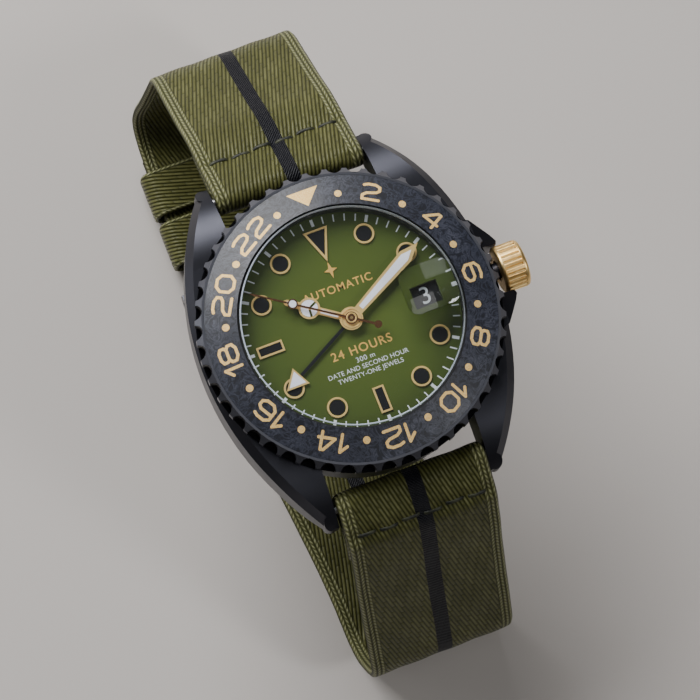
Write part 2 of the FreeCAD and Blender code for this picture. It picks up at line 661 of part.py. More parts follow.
def crown():
    """A fluted cap over the tube, deep enough to seal on it."""
    body = rod_x(CROWN_RADIUS, CROWN_INNER_X, CROWN_OUTER_X, 0, STEM_Z)
    rims = [e for e in body.Edges if abs(e.BoundBox.XLength) < 0.01]
    body = body.makeFillet(0.45, rims)
    flute = Part.makeCylinder(0.3, 2.6, V(CROWN_INNER_X + 0.5, 0, STEM_Z + CROWN_RADIUS + 0.05), V(1, 0, 0))
    flutes = []
    for i in range(24):
        one = flute.copy()
        one.rotate(V(0, 0, STEM_Z), V(1, 0, 0), i * 15)
        flutes.append(one)
    body = body.cut(Part.makeCompound(flutes))
    return body.cut(rod_x(1.5, 21, 24.0, 0, STEM_Z)).cut(rod_x(0.4, 21, 24.6, 0, STEM_Z))


def crown_gasket():
    return rod_x(1.5, 22.6, 23.0, 0, STEM_Z).cut(rod_x(1.17, 22, 24, 0, STEM_Z))


# Strap

def rounded_path(corners, radii, step=9.0):
    """Points and normals along straight runs joined by arcs; one radius per inner corner."""
    stations = []
    headings = [atan2(b[1] - a[1], b[0] - a[0]) for a, b in zip(corners, corners[1:])]
    stations.append((corners[0], headings[0]))
    for i, radius in enumerate(radii):
        corner = corners[i + 1]
        turn = (headings[i + 1] - headings[i] + pi) % (2 * pi) - pi
        reach = radius * tan(abs(turn) / 2)
        side = 1 if turn > 0 else -1
        start = (corner[0] - reach * cos(headings[i]), corner[1] - reach * sin(headings[i]))
        centre = (start[0] - side * radius * sin(headings[i]), start[1] + side * radius * cos(headings[i]))
        count = max(2, ceil(degrees(abs(turn)) / step))
        for k in range(count + 1):
            heading = headings[i] + turn * k / count
            point = (centre[0] + side * radius * sin(heading), centre[1] - side * radius * cos(heading))
            stations.append((point, heading))
    stations.append((corners[-1], headings[-1]))
    return subdivided(stations)


def subdivided(stations, longest=7.0):
    """The same stations with more of them along each long straight run."""
    finer = stations[:1]
    for (start, heading), (end, next_heading) in zip(stations, stations[1:]):
        count = ceil(hypot(end[0] - start[0], end[1] - start[1]) / longest)
        for k in range(1, count):
            point = [a + (b - a) * k / count for a, b in zip(start, end)]
            finer.append((point, heading))
        finer.append((end, next_heading))
    return finer


def ribbon(stations, width, thickness, shift):
    """A closed band of flat facets that follows the stations, moved sideways by shift(y, z)."""
    rings = []
    for (y, z), heading in stations:
        out = (-sin(heading) * thickness / 2, cos(heading) * thickness / 2)
        x = shift(y, z)
        rings.append([V(x + a * width / 2, y + b * out[0], z + b * out[1])
                      for a, b in ((-1, -1), (1, -1), (1, 1), (-1, 1))])
    faces = [Part.Face(Part.makePolygon(ends + ends[:1])) for ends in (rings[0], rings[-1])]
    for first, second in zip(rings, rings[1:]):
        for k in range(4):
            a, b, c, d = first[k], first[(k + 1) % 4], second[(k + 1) % 4], second[k]
            if k % 2:
                faces.append(Part.Face(Part.makePolygon([a, b, c, a])))
                faces.append(Part.Face(Part.makePolygon([a, c, d, a])))
            else:
                faces.append(Part.Face(Part.makePolygon([a, b, c, d, a])))
    solid = Part.makeSolid(Part.makeShell(faces))
    return solid if solid.Volume > 0 else solid.reversed()


def eased(value, start, end):
    part = min(1.0, max(0.0, (value - start) / (end - start)))
    return part * part * (3 - 2 * part)


def long_shift(y, z):
    return STRAP_SHIFT * eased(y, -32.0, 4.0) if z < 9 else 0.0


def short_shift(y, z):
    return STRAP_SHIFT * eased(27.0 - z, 0.0, 21.0)


def bar_loop(y, z, shift, bore, outer=2.0):
    """The end of a webbing layer folded round a bar and stitched to itself."""
    half = STRAP_WIDTH / 2
    return rod_x(outer, shift - half, shift + half, y, z).cut(rod_x(bore, -20, 20, y, z))


LONG_ROUTE = [(-SPRING_BAR_Y, SPRING_BAR_Z), (-27.6, 40.2), (-43.5, 12.2), (-38.4, 0.65),
              (2.2, 0.65), (7.5, 3.6), (18.0, 0.66), (23.6, 1.72), (41.8, 1.72)]
LONG_RADII = [6.0, 9.0, 6.0, 5.0, 5.0, 6.0, 7.0]
SHORT_ROUTE = [(SPRING_BAR_Y, SPRING_BAR_Z), (33.0, 38.4), (46.9, 27.2), (46.9, 3.6),
               (BUCKLE_BAR_Y, BUCKLE_BAR_Z)]
SHORT_RADII = [12.0, 9.0, 7.0]
HOLE_PLACES = (13.55, 28.0, 35.9)


def strap_long():
    """The 6 o'clock strap, under the wrist, through the buckle and on into the keepers."""
    band = ribbon(rounded_path(LONG_ROUTE, LONG_RADII), STRAP_WIDTH, STRAP_THICKNESS, long_shift)
    strap = band.fuse(bar_loop(-SPRING_BAR_Y, SPRING_BAR_Z, 0.0, 1.0))
    strap = strap.cut(rod_x(1.0, -20, 20, -SPRING_BAR_Y, SPRING_BAR_Z))
    for y in HOLE_PLACES:
        strap = strap.cut(Part.makeCylinder(1.0, 8.0, V(STRAP_SHIFT, y, -1.0), UP))
    return strap


def strap_short():
    """The 12 o'clock strap, folded round the buckle's bar with a gap for the tongue."""
    band = ribbon(rounded_path(SHORT_ROUTE, SHORT_RADII), STRAP_WIDTH, STRAP_THICKNESS, short_shift)
    strap = fused([band, bar_loop(SPRING_BAR_Y, SPRING_BAR_Z, 0.0, 1.0),
                   bar_loop(BUCKLE_BAR_Y, BUCKLE_BAR_Z, STRAP_SHIFT, 0.85)])
    strap = strap.cut(rod_x(1.0, -20, 20, SPRING_BAR_Y, SPRING_BAR_Z))
    strap = strap.cut(rod_x(0.85, -20, 20, BUCKLE_BAR_Y, BUCKLE_BAR_Z))
    gap = block((STRAP_SHIFT - 1.3, STRAP_SHIFT + 1.3), (15.5, 22.5), (0, 7))
    return strap.cut(gap)


def keeper(start, end):
    """A loop of webbing round both layers of the strap."""
    middle = STRAP_SHIFT
    outside = block((middle - 12.2, middle + 12.2), (start, end), (0, 5.4))
    outside = outside.makeFillet(1.0, [e for e in outside.Edges if abs(e.tangentAt(0).y) > 0.9])
    inside = block((middle - 11.2, middle + 11.2), (start - 1, end + 1), (0.95, 4.45))
    return outside.cut(inside)


def spring_bar(y):
    """A tube between the lugs, bored at both ends for its sprung tips."""
    tube = rod_x(SPRING_BAR_RADIUS, -10.3, 10.3, y, SPRING_BAR_Z)
    return tube.cut(rod_x(0.6, -11, -7.5, y, SPRING_BAR_Z)).cut(rod_x(0.6, 7.5, 11, y, SPRING_BAR_Z))


def spring_bar_tip(y, side):
    """A pin that springs out of the bar into the lug, with a collar to push it back by."""
    low, high = sorted((side * 9.0, side * 12.3))
    pin = rod_x(0.55, low, high, y, SPRING_BAR_Z)
    return pin


def buckle_bar():
    return rod_x(0.75, STRAP_SHIFT - 12.5, STRAP_SHIFT + 12.5, BUCKLE_BAR_Y, BUCKLE_BAR_Z)


def buckle_frame():
    """Two cranked cheeks on the bar, joined by the end bar under the strap."""
    cheek = [(6.4, 0.75), (8.6, 0.75), (15.5, 1.1), (19.2, 2.0), (20.3, 3.2), (20.1, 4.7), (18.2, 5.2),
             (14.5, 4.0), (8.8, 2.05), (6.4, 2.05)]
    parts = [slab_x(cheek, STRAP_SHIFT - 12.8, STRAP_SHIFT - 11.3)]
    parts.append(slab_x(cheek, STRAP_SHIFT + 11.3, STRAP_SHIFT + 12.8))
    parts.append(block((STRAP_SHIFT - 11.3, STRAP_SHIFT + 11.3), (6.4, 8.6), (0.75, 2.05)))
    return fused(parts).cut(rod_x(0.75, -20, 20, BUCKLE_BAR_Y, BUCKLE_BAR_Z))


def buckle_tongue():
    """A bent pin from the bar, down through a strap hole, to rest under the end bar."""
    near_bar = BUCKLE_BAR_Y - 0.9
    side = [(near_bar, 2.9), (14.3, 2.9), (13.7, 0.75), (13.1, 0.2), (6.9, 0.05), (6.9, 0.62),
            (8.8, 0.66), (12.2, 0.85), (12.9, 1.3), (13.4, 3.5), (14.1, 4.0), (near_bar, 4.3)]
    pin = slab_x(side, STRAP_SHIFT - 0.5, STRAP_SHIFT + 0.5)
    eye = rod_x(1.4, STRAP_SHIFT - 0.9, STRAP_SHIFT + 0.9, BUCKLE_BAR_Y, BUCKLE_BAR_Z)
    return pin.fuse(eye).cut(rod_x(0.8, -10, 10, BUCKLE_BAR_Y, BUCKLE_BAR_Z))


def main():
    os.makedirs("parts", exist_ok=True)
    on_watch = (case_middle, case_back, bezel_click_spring, crystal, date_magnifier, crystal_gasket,
                rehaut_ring, movement_holder, crown_tube, bezel_ring, dial, hour_marker_frames,
                hour_marker_plots, hour_hand, minute_hand, seconds_hand, gmt_hand, cannon_pinion,
                hour_wheel, gmt_wheel, minute_wheel, date_ring, main_plate, train_bridge, balance_cock,
                movement_screws, jewel_bearings, fourth_wheel, third_wheel, mainspring_barrel,
                mainspring, ratchet_wheel, crown_wheel, escape_wheel, pallet_fork, balance_wheel,
                hairspring, rotor_weight, rotor_bearing, winding_pinion, sliding_pinion, winding_stem,
                crown, crown_gasket)
    for make in on_watch:
        save(make.__name__, make())
    save("case_back_gasket", ring(16.7, 15.9, -7.25, -6.9))
    inlay_depth = insert_shell(-0.02, 0.2)
    inlays = Part.makeCompound([mark.common(inlay_depth) for mark in bezel_markings()])
    insert = insert_shell(0, 0.5).cut(inlays)
    save("bezel_insert", insert)
    save("bezel_numerals", inlays)
    for make in (strap_long, strap_short, buckle_bar, buckle_frame, buckle_tongue):
        save(make.__name__, make(), 0)
    save("keeper_fixed", keeper(24.5, 31.4), 0)
    save("keeper_sliding", keeper(32.4, 39.4), 0)
    for name, y in (("upper", SPRING_BAR_Y), ("lower", -SPRING_BAR_Y)):
        save("spring_bar_" + name, spring_bar(y), 0)
        for hand, side in (("left", -1), ("right", 1)):
            save("spring_bar_tip_" + name + "_" + hand, spring_bar_tip(y, side), 0)


main()
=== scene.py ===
import math

import bpy
import numpy as np
from mathutils import Matrix, Vector


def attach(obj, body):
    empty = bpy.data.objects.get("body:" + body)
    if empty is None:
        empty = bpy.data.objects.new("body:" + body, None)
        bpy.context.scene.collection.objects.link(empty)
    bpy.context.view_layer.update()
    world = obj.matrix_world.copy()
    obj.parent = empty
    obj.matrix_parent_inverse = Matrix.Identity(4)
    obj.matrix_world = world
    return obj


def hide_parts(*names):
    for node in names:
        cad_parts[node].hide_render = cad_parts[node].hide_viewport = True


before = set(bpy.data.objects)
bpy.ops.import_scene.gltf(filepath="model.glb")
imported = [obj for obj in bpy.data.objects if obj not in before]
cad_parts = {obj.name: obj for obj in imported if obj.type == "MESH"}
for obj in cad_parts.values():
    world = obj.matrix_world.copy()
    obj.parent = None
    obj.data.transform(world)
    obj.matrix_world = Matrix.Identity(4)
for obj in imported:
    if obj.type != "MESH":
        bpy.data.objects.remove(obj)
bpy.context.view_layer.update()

# Studio: a pale floor, one large soft light from beyond 12 o'clock and a low strip at each
# side. The camera looks down on the dial from the left of 6 o'clock with a long lens.
MM = 0.001
DIAL = Vector((0, 0, 47 * MM))
CAMERA_BACK = Vector((-0.1517, -0.1817, 0.9716))
CAMERA_UP = Vector((0.34199, 0.91261, 0.22407))
CAMERA_DISTANCE = 444.6 * MM


def look_matrix(place, back, up):
    """A placing matrix whose -Z looks along minus back, with up as near +Y as it can be."""
    back = back.normalized()
    right = up.cross(back).normalized()
    turned = Matrix((right, back.cross(right), back)).transposed().to_4x4()
    turned.translation = place
    return turned


def add_camera():
    """A long lens, shifted a little to set the watch in the middle of the frame."""
    camera_data = bpy.data.cameras.new("camera")
    camera_data.lens = 170
    camera_data.sensor_width = 36
    camera_data.shift_x = -0.00097
    camera_data.shift_y = -0.0425
    camera_data.clip_start = 0.01
    camera_data.clip_end = 20
    camera = bpy.data.objects.new("camera", camera_data)
    camera.matrix_world = look_matrix(DIAL + CAMERA_BACK * CAMERA_DISTANCE, CAMERA_BACK, CAMERA_UP)
    bpy.context.scene.collection.objects.link(camera)
    bpy.context.scene.camera = camera


def add_softbox(name, place, size, power):
    """A rectangular soft light in metres and watts, aimed at the dial."""
    light_data = bpy.data.lights.new(name, "AREA")
    light_data.shape = "RECTANGLE"
    light_data.size, light_data.size_y = size
    light_data.energy = power
    light = bpy.data.objects.new(name, light_data)
    place = Vector(place)
    light.matrix_world = look_matrix(place, place - DIAL, Vector((0, 0.01, 1)))
    bpy.context.scene.collection.objects.link(light)


class Socket:
    """A shader value that adds, multiplies and compares as a number does."""

    def __init__(self, finish, link):
        self.finish, self.link = finish, link

    def math(self, operation, *others):
        return self.finish.node("Math", {"operation": operation}, self, *others)

    def __add__(self, other):
        return self.math("ADD", other)

    def __mul__(self, other):
        return self.math("MULTIPLY", other)

    def __sub__(self, other):
        return self.math("SUBTRACT", other)

    def __truediv__(self, other):
        return self.math("DIVIDE", other)

    def __rsub__(self, other):
        return self.finish.node("Math", {"operation": "SUBTRACT"}, other, self)

    def __gt__(self, other):
        return self.math("GREATER_THAN", other)

    def __lt__(self, other):
        return self.math("LESS_THAN", other)

    __radd__ = __add__
    __rmul__ = __mul__


class Finish:
    """A material with one Principled shader, built by node() and set()."""

    def __init__(self, name, **constants):
        self.material = bpy.data.materials.new(name)
        self.material.use_nodes = True
        self.nodes = self.material.node_tree.nodes
        self.links = self.material.node_tree.links
        self.shader = self.nodes["Principled BSDF"]
        self.set(**constants)

    def plug(self, socket, value):
        if isinstance(value, Socket):
            self.links.new(value.link, socket)
        elif hasattr(value, "__len__") and len(value) == 3 and socket.type == "RGBA":
            socket.default_value = (*value, 1)
        else:
            socket.default_value = value

    def set(self, **values):
        """Sets the shader's sockets, named with underscores for spaces."""
        for name, value in values.items():
            self.plug(self.shader.inputs[name.replace("_", " ")], value)
        return self

    def node(self, kind, settings, *values, out=0, **named):
        made = self.nodes.new("ShaderNode" + kind)
        for name, value in settings.items():
            if name == "stops":
                ramp = made.color_ramp
                while len(ramp.elements) < len(value):
                    ramp.elements.new(0.5)
                for element, (position, colour) in zip(ramp.elements, value):
                    element.position = position
                    element.color = (*colour, 1) if hasattr(colour, "__len__") else (colour,) * 3 + (1,)
            else:
                setattr(made, name, value)
        for socket, value in zip(made.inputs, values):
            self.plug(socket, value)
        for name, value in named.items():
            self.plug(made.inputs[name.replace("_", " ")], value)
        return Socket(self, made.outputs[out])

    def place(self):
        """Object coordinates in millimetres."""
        point = self.node("TexCoord", {}, out=3)
        return self.node("VectorMath", {"operation": "SCALE"}, point, Scale=1 / MM)

    def parts(self, vector):
        split = self.node("SeparateXYZ", {}, vector)
        return [Socket(self, out) for out in split.link.node.outputs]

    def noise(self, scale, vector=None, detail=2.0, roughness=0.5, distortion=0.0):
        vector = vector or self.place()
        return self.node("TexNoise", {}, Vector=vector, Scale=scale, Detail=detail, Roughness=roughness,
                         Distortion=distortion)

    def ramp(self, value, *stops):
        return self.node("ValToRGB", {"stops": stops}, value)

    def mix(self, factor, first, second):
        """Two colours blended by a value."""
        made = self.node("Mix", {"data_type": "RGBA"}, factor)
        inner = made.link.node
        self.plug(inner.inputs[6], first)
        self.plug(inner.inputs[7], second)
        return Socket(self, inner.outputs[2])

    def bump(self, height, strength=0.3, distance=0.05):
        """Relief from a height in parts of the distance, which is in millimetres."""
        normal = self.node("Bump", {}, Strength=strength, Distance=distance * MM, Height=height)
        return self.set(Normal=normal)

    def dress(self, *nodes):
        """Puts the finish on CAD nodes or on pieces."""
        for node in nodes:
            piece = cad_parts[node] if isinstance(node, str) else node
            piece.data.materials.clear()
            piece.data.materials.append(self.material)
        return self


def blasted(finish, roughness, low=0.85, high=1.15, grain=9.0):
    """A fine bead-blasted surface with faint handling marks."""
    fine = finish.noise(grain, detail=3)
    broad = finish.noise(0.35, detail=4, roughness=0.6)
    finish.set(Roughness=roughness * (low + (high - low) * broad))
    return finish.bump(fine, 0.12, 0.02)


add_camera()
add_softbox("key_light", (-0.12, 0.42, 0.42), (0.5, 0.32), 5.0)
add_softbox("left_strip", (-0.5, 0.3, 0.16), (0.2, 0.24), 0.3)
add_softbox("right_strip", (0.3, -0.3, 0.5), (0.1, 0.2), 0.8)
add_softbox("top_fill", (0.0, -0.1, 0.75), (0.3, 0.3), 0.2)
world = bpy.data.worlds.new("studio")
world.use_nodes = True
world.node_tree.nodes["Background"].inputs["Color"].default_value = (0.95, 0.92, 0.9, 1)
world.node_tree.nodes["Background"].inputs["Strength"].default_value = 0.05
bpy.context.scene.world = world
bpy.ops.object.select_all(action="DESELECT")
bpy.ops.mesh.primitive_plane_add(size=4, location=(0, 0, -0.02 * MM))
floor = bpy.context.object
floor.name = "floor"
Finish("studio_floor", Base_Color=(0.62, 0.58, 0.55), Roughness=0.9).dress(floor)

# Case: one piece of steel with a matte black hard coating, milled, then bead-blasted before
# it is coated. The case back screws in from below on a seal, and carries a ring of key slots.
case_black = Finish("case_black", Base_Color=(0.046, 0.047, 0.058), Metallic=0.85)
blasted(case_black, 0.36)
case_black.dress("case_middle", "crown_tube")
back_black = Finish("case_back_black", Base_Color=(0.07, 0.072, 0.085), Metallic=0.85)
back_x, back_y, back_z = back_black.parts(back_black.place())
back_radius = (back_x * back_x + back_y * back_y).math("SQRT")
turning = (back_radius * 14.0).math("SINE")
back_black.set(Roughness=0.3 + 0.08 * turning)
back_black.bump(turning, 0.25, 0.01)
back_black.dress("case_back")
Finish("black_rubber", Base_Color=(0.015, 0.015, 0.015), Roughness=0.7).dress(
    "case_back_gasket", "crystal_gasket", "crown_gasket")

# Bezel: a steel rim milled with 48 scallops and coated like the case, turning on the neck of
# the case. Its insert is a coned ring of forged carbon, and the 24-hour scale is inlaid in it.
SCALLOPS, SCALLOP_CIRCLE, SCALLOP_RADIUS = 48, 21.15, 1.0
bezel_black = Finish("bezel_black", Metallic=0.9)
bezel_x, bezel_y, bezel_z = bezel_black.parts(bezel_black.place())
rim_radius = (bezel_x * bezel_x + bezel_y * bezel_y).math("SQRT")
pitch_angle = 2 * math.pi / SCALLOPS
off_middle = ((bezel_y.math("ARCTAN2", bezel_x) / pitch_angle + 0.5).math("FRACT") - 0.5) * pitch_angle
from_scallop = ((rim_radius * off_middle.math("COSINE") - SCALLOP_CIRCLE).math("POWER", 2.0)
                + (rim_radius * off_middle.math("SINE")).math("POWER", 2.0)).math("SQRT")
painted_scallop_shade = from_scallop < SCALLOP_RADIUS + 0.04
blasted(bezel_black, 0.34)
# The coating is one colour: the scallops are painted near black as shade, and the rest of the rim a lighter
# grey as painted highlight.
bezel_black.set(Base_Color=bezel_black.mix(painted_scallop_shade, (0.15, 0.156, 0.185), (0.006, 0.006, 0.008)))
bezel_black.dress("bezel_ring")
carbon = Finish("forged_carbon", Coat_Roughness=0.12)
carbon_place = carbon.place()
flow = carbon.noise(0.16, carbon_place, detail=3, distortion=1.4)
streaks = carbon.noise(0.5, carbon_place, detail=5, roughness=0.62, distortion=2.6)
veins = 1.0 - ((streaks - 0.5).math("ABSOLUTE") * 9.0).math("MINIMUM", 1.0)
chips = carbon.noise(2.2, carbon_place, detail=3, distortion=0.8)
marble = 0.4 * flow + 0.45 * veins + 0.3 * chips
carbon.set(Base_Color=carbon.ramp(marble, (0.28, (0.007, 0.008, 0.013)), (0.5, (0.015, 0.017, 0.027)),
                                  (0.72, (0.032, 0.036, 0.054)), (0.92, (0.085, 0.09, 0.12))))
carbon.set(Roughness=0.5 - 0.12 * marble, Coat_Weight=0.12)
carbon.dress("bezel_insert")
inlay = Finish("pale_gold_inlay", Metallic=0.3)
grain = inlay.noise(7.0, detail=3)
inlay.set(Base_Color=inlay.ramp(grain, (0.3, (0.85, 0.5, 0.14)), (0.55, (1.0, 0.68, 0.26)),
                                (0.75, (1.0, 0.86, 0.5))))
inlay.set(Roughness=0.42 + 0.2 * grain)
inlay.bump(grain, 0.3, 0.02)
inlay.dress("bezel_numerals")

# Crystal and date magnifier: clear sapphire, polished, with a thin pale-blue ring at its edge that is
# painted highlight, strongest towards the lower left. The magnifier is a low dome glued over the date window.
CRYSTAL_RADIUS, CRYSTAL_EDGE_TOP = 15.0, 50.44


def clear(name, tint, gloss):
    """Glass that lets the dial show and mirrors the room more at a slant."""
    glass = Finish(name, Base_Color=tint, Roughness=0.03, Metallic=0.0)
    through = glass.node("BsdfTransparent", {}, Color=(*tint, 1))
    mirror = glass.node("LayerWeight", {}, Blend=gloss)
    blend = glass.node("MixShader", {}, mirror * 0.6 + 0.004, through,
                       Socket(glass, glass.shader.outputs[0]))
    glass.links.new(blend.link, glass.nodes["Material Output"].inputs["Surface"])
    return glass


clear("sapphire", (0.97, 0.985, 1.0), 0.12).dress("crystal")
Finish("magnifier_sapphire", Base_Color=(0.97, 0.985, 1.0), Roughness=0.0, Transmission_Weight=1.0,
       IOR=2.0, Specular_IOR_Level=0.06).dress("date_magnifier")
# A thin ring at the crystal's edge, painted pale blue as a highlight and more opaque towards the lower left.
bpy.ops.object.select_all(action="DESELECT")
bpy.ops.mesh.primitive_torus_add(major_radius=CRYSTAL_RADIUS * MM, minor_radius=0.11 * MM, major_segments=160,
                                 minor_segments=8)
crystal_edge = bpy.context.object
crystal_edge.name = "crystal_edge"
crystal_edge.data.transform(Matrix.Translation((0, 0, CRYSTAL_EDGE_TOP * MM)))
edge_highlight = Finish("painted_edge_highlight", Base_Color=(0.62, 0.7, 0.82), Roughness=0.25)
edge_x, edge_y, edge_z = edge_highlight.parts(edge_highlight.place())
edge_highlight.set(Alpha=((edge_x * -0.035 + edge_y * -0.03) + 0.42).math("MAXIMUM", 0.05))
edge_highlight.dress(crystal_edge)
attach(crystal_edge, "case")
Finish("inner_ring_black", Base_Color=(0.008, 0.008, 0.009), Roughness=0.35).dress("rehaut_ring")

# Dial: a brass disc lacquered olive green over a sunburst brushing, printed with a white minute
# track and plain wording, with polished metal rims applied round black filled plots.
DIAL_FACE = 47.0
green = Finish("olive_sunburst", Metallic=0.1, Specular_IOR_Level=0.3)
dial_x, dial_y, dial_z = green.parts(green.place())
dial_angle = dial_y.math("ARCTAN2", dial_x)
dial_radius = (dial_x * dial_x + dial_y * dial_y).math("SQRT")
around_dial = green.node("CombineXYZ", {}, dial_angle.math("COSINE") * 26.0, dial_angle.math("SINE") * 26.0,
                         dial_radius * 0.12)
rays = green.noise(1.6, around_dial, detail=4, roughness=0.65)
# The lacquer is painted darker towards the rim as shade, and the sunburst's rays vary it a little.
shade = (dial_radius / 15.3).math("POWER", 2.2)
green.set(Base_Color=green.mix(shade * 0.85 + 0.25 * (rays - 0.5), (0.1, 0.14, 0.018), (0.045, 0.07, 0.008)))
green.set(Roughness=0.3 + 0.16 * rays)
green.bump(rays, 0.1, 0.02)
green.dress("dial")


def flat_shape(name, points, level, finish, depth=0.02, angle=0.0):
    """A thin printed or filled shape from an outline, turned clockwise about the hands' axis."""
    bpy.ops.object.select_all(action="DESELECT")
    bpy.ops.mesh.primitive_circle_add(vertices=len(points), radius=MM, fill_type="NGON")
    piece = bpy.context.object
    piece.name = name
    for corner, (x, y) in zip(piece.data.vertices, points):
        corner.co = (x * MM, y * MM, level * MM)
    bpy.ops.object.mode_set(mode="EDIT")
    bpy.ops.mesh.select_all(action="SELECT")
    bpy.ops.mesh.extrude_region_move(TRANSFORM_OT_translate={"value": (0, 0, depth * MM)})
    bpy.ops.mesh.select_all(action="SELECT")
    bpy.ops.mesh.normals_make_consistent(inside=False)
    bpy.ops.object.mode_set(mode="OBJECT")
    piece.data.transform(Matrix.Rotation(math.radians(-angle), 4, "Z"))
    finish.dress(piece)
    return piece


def joined(name, pieces, body):
    """Several pieces made one, riding on a body."""
    bpy.ops.object.select_all(action="DESELECT")
    for piece in pieces:
        piece.select_set(True)
    bpy.context.view_layer.objects.active = pieces[0]
    if len(pieces) > 1:
        bpy.ops.object.join()
    whole = bpy.context.view_layer.objects.active
    whole.name = name
    whole.data.name = name
    bpy.ops.object.select_all(action="DESELECT")
    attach(whole, body)
    return whole


white_print = Finish("white_print", Base_Color=(0.86, 0.88, 0.86), Roughness=0.5)
gold_print = Finish("gold_print", Base_Color=(0.95, 0.55, 0.13), Roughness=0.4, Metallic=0.25)
TRACK_INSIDE, TRACK_OUTSIDE = 13.85, 14.85
ticks = []
for minute in range(60):
    half = 0.21 if minute % 5 == 0 else 0.09
    outline = [(-half, TRACK_INSIDE), (half, TRACK_INSIDE), (half, TRACK_OUTSIDE), (-half, TRACK_OUTSIDE)]
    ticks.append(flat_shape("tick", outline, DIAL_FACE, white_print, 0.015, minute * 6))
joined("minute_track", ticks, "case")


def lettering(name, text, size, centre, finish, spacing=1.0, bold=0.0, level=DIAL_FACE + 0.003):
    """Plain lettering laid flat at a level, centred on a point."""
    bpy.ops.object.select_all(action="DESELECT")
    bpy.ops.object.text_add(location=(0, 0, 0))
    piece = bpy.context.object
    piece.data.body = text
    piece.data.size = size * MM
    piece.data.align_x, piece.data.align_y = "CENTER", "CENTER"
    piece.data.space_character = spacing
    piece.data.offset = bold * MM
    piece.data.extrude = 0.006 * MM
    bpy.ops.object.convert(target="MESH")
    piece = bpy.context.object
    piece.name = name
    piece.data.transform(Matrix.Translation((centre[0] * MM, centre[1] * MM, level * MM)))
    piece.matrix_world = Matrix.Identity(4)
    finish.dress(piece)
    return piece


gold_words = [lettering("word", "AUTOMATIC", 1.55, (0, 4.75), gold_print, 1.15, 0.02),
              lettering("word", "24 HOURS", 1.7, (0, -4.05), gold_print, 1.15, 0.02)]
star = [(0.95 * math.sin(i * math.pi / 4) * (1 if i % 2 == 0 else 0.36),
         7.4 + 1.2 * math.cos(i * math.pi / 4) * (1 if i % 2 == 0 else 0.3)) for i in range(8)]
gold_words.append(flat_shape("star", star, DIAL_FACE, gold_print, 0.12))
joined("gold_dial_print", gold_words, "case")
white_words = [lettering("word", "300 m", 1.0, (0, -5.45), white_print, 1.1),
               lettering("word", "DATE AND SECOND HOUR", 0.92, (0, -6.5), white_print, 1.02),
               lettering("word", "TWENTY-ONE JEWELS", 0.92, (0, -7.5), white_print, 1.02)]
joined("white_dial_print", white_words, "case")
gold = Finish("polished_gold", Base_Color=(1.0, 0.68, 0.24), Metallic=0.4)
gold_wear = gold.noise(1.3, detail=3)
gold.set(Roughness=0.26 + 0.12 * gold_wear)
gold.bump(gold_wear, 0.08, 0.02)
gold.dress("hour_marker_frames")
plot = Finish("plot_filling", Base_Color=(0.004, 0.004, 0.005), Specular_IOR_Level=0.2)
plot_grain = plot.noise(12.0, detail=2)
plot.set(Roughness=0.5 + 0.3 * plot_grain)
plot.bump(plot_grain, 0.3, 0.02)
plot.dress("hour_marker_plots")

# Date ring: a black plastic ring printed with 31 white numbers, one of them at the window.
Finish("date_black", Base_Color=(0.003, 0.003, 0.004), Roughness=0.6,
       Specular_IOR_Level=0.2).dress("date_ring")
DAYS, DAY_AT_WINDOW, NUMBER_RADIUS = 31, 3, 11.1
numbers = []
for day in range(1, DAYS + 1):
    piece = lettering("day", str(day), 2.3 if day < 10 else 1.9, (0, 0), white_print, 1.0, 0.0,
                      DIAL_FACE - 0.5)
    turn = Matrix.Rotation(-(day - DAY_AT_WINDOW) * 2 * math.pi / DAYS, 4, "Z")
    piece.data.transform(turn @ Matrix.Translation((NUMBER_RADIUS * MM, 0, 0)))
    numbers.append(piece)
joined("date_numbers", numbers, "date_group")

# Hands: stamped brass, polished and gilt, with wells filled with white luminous paste. The
# 24-hour hand has a black stem.
gold.dress("hour_hand", "minute_hand")
copper_gold = Finish("seconds_gilt", Base_Color=(0.62, 0.28, 0.12), Metallic=1.0, Roughness=0.22)
copper_gold.dress("seconds_hand")
Finish("gmt_black", Base_Color=(0.012, 0.012, 0.013), Roughness=0.35, Metallic=0.4).dress("gmt_hand")
# The paste is given a faint emission, a painted glow that makes it brighter than the lamps alone light it.
lume = Finish("luminous_white", Roughness=0.55, Emission_Strength=0.25)
lume_grain = lume.noise(9.0, detail=2)
lume.set(Base_Color=lume.ramp(lume_grain, (0.3, (0.78, 0.76, 0.8)), (0.7, (0.93, 0.92, 0.95))),
         Emission_Color=(0.75, 0.75, 0.85))
lume.bump(lume_grain, 0.15, 0.02)
HOUR_ANGLE, MINUTE_ANGLE, SECONDS_ANGLE, GMT_ANGLE = -55.0, 61.6, -56.0, -118.0
HOUR_TOP, MINUTE_TOP, SECONDS_TOP, GMT_TOP = 47.85, 48.2, 48.55, 47.5


def arc_points(radius, centre_y, first, last, count):
    """Points round (0, centre_y), in degrees clockwise from 12."""
    angles = [math.radians(first + (last - first) * i / (count - 1)) for i in range(count)]
    return [(radius * math.sin(a), centre_y + radius * math.cos(a)) for a in angles]


